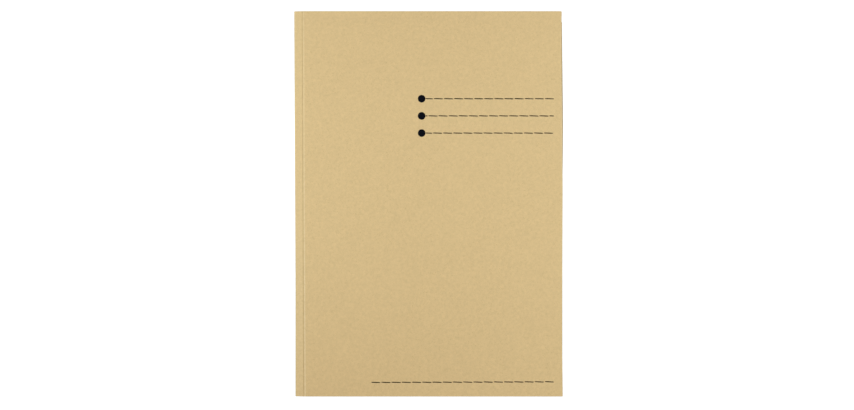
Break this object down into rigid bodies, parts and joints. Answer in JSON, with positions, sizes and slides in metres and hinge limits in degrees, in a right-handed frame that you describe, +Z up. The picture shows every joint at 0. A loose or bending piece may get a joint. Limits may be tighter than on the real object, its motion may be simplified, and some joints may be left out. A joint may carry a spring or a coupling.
{
  "type": "manila folder",
  "caption": "Closed document folder of manila card with a scored spine strip, dotted writing lines on the front cover and flaps that fold in under it.",
  "frame": {"origin": "centre of the closed folder's footprint, on the surface that it lies on", "axes": "+X from the spine to the fore edge, +Y from the foot to the head of the cover, +Z up out of the front cover"},
  "size_m": [0.241, 0.348, 0.0033],
  "materials": {
    "manila_card": "matte",
    "black_ink": "matte"
  },
  "bodies": {
    "back": {"back_cover": "manila_card", "spine_fold": "manila_card", "top_fold": "manila_card", "bottom_fold": "manila_card", "side_fold": "manila_card"},
    "spine": {"spine_strip": "manila_card", "front_score": "manila_card"},
    "cover": {"front_cover": "manila_card", "title_dots": "black_ink", "title_lines": "black_ink", "foot_line": "black_ink"},
    "top_gusset": {"top_strip": "manila_card", "top_score": "manila_card"},
    "top_leaf": {"top_flap": "manila_card"},
    "bottom_gusset": {"bottom_strip": "manila_card", "bottom_score": "manila_card"},
    "bottom_leaf": {"bottom_flap": "manila_card"},
    "side_gusset": {"side_strip": "manila_card", "side_score": "manila_card"},
    "side_leaf": {"side_flap": "manila_card"}
  },
  "joints": [
    {"name": "cover_open", "type": "hinge", "parent": "back", "child": "spine", "pos_m": [-0.11986, 0, 0.00064], "axis": [0, -1, 0], "range_deg": [0, 163.96], "deforming": ["spine_fold"]},
    {"name": "cover_score_bend", "type": "hinge", "parent": "spine", "child": "cover", "pos_m": [-0.11297, 0, 0.00309], "axis": [0, -1, 0], "range_deg": [0, 16.04]},
    {"name": "top_flap_open", "type": "hinge", "parent": "back", "child": "top_gusset", "pos_m": [0, 0.17336, 0.00064], "axis": [-1, 0, 0], "range_deg": [0, 176.86], "deforming": ["top_fold"]},
    {"name": "top_score_bend", "type": "hinge", "parent": "top_gusset", "child": "top_leaf", "pos_m": [0, 0.1661, 0.00149], "axis": [-1, 0, 0], "range_deg": [0, 3.16]},
    {"name": "bottom_flap_open", "type": "hinge", "parent": "back", "child": "bottom_gusset", "pos_m": [0, -0.17336, 0.00064], "axis": [1, 0, 0], "range_deg": [0, 176.86], "deforming": ["bottom_fold"]},
    {"name": "bottom_score_bend", "type": "hinge", "parent": "bottom_gusset", "child": "bottom_leaf", "pos_m": [0, -0.1661, 0.00149], "axis": [1, 0, 0], "range_deg": [0, 3.16]},
    {"name": "side_flap_open", "type": "hinge", "parent": "back", "child": "side_gusset", "pos_m": [0.11986, 0, 0.00064], "axis": [0, 1, 0], "range_deg": [0, 170.5], "deforming": ["side_fold"]},
    {"name": "side_score_bend", "type": "hinge", "parent": "side_gusset", "child": "side_leaf", "pos_m": [0.11273, 0, 0.00229], "axis": [0, 1, 0], "range_deg": [0, 9.52]}
  ],
  "couplings": [
    {"joint": "top_flap_open", "follows": "cover_open", "ratio": 1.0787},
    {"joint": "top_score_bend", "follows": "cover_open", "ratio": 0.01919},
    {"joint": "bottom_flap_open", "follows": "cover_open", "ratio": 1.0787},
    {"joint": "bottom_score_bend", "follows": "cover_open", "ratio": 0.01919},
    {"joint": "side_flap_open", "follows": "cover_open", "ratio": 1.0398},
    {"joint": "side_score_bend", "follows": "cover_open", "ratio": 0.058007}
  ]
}
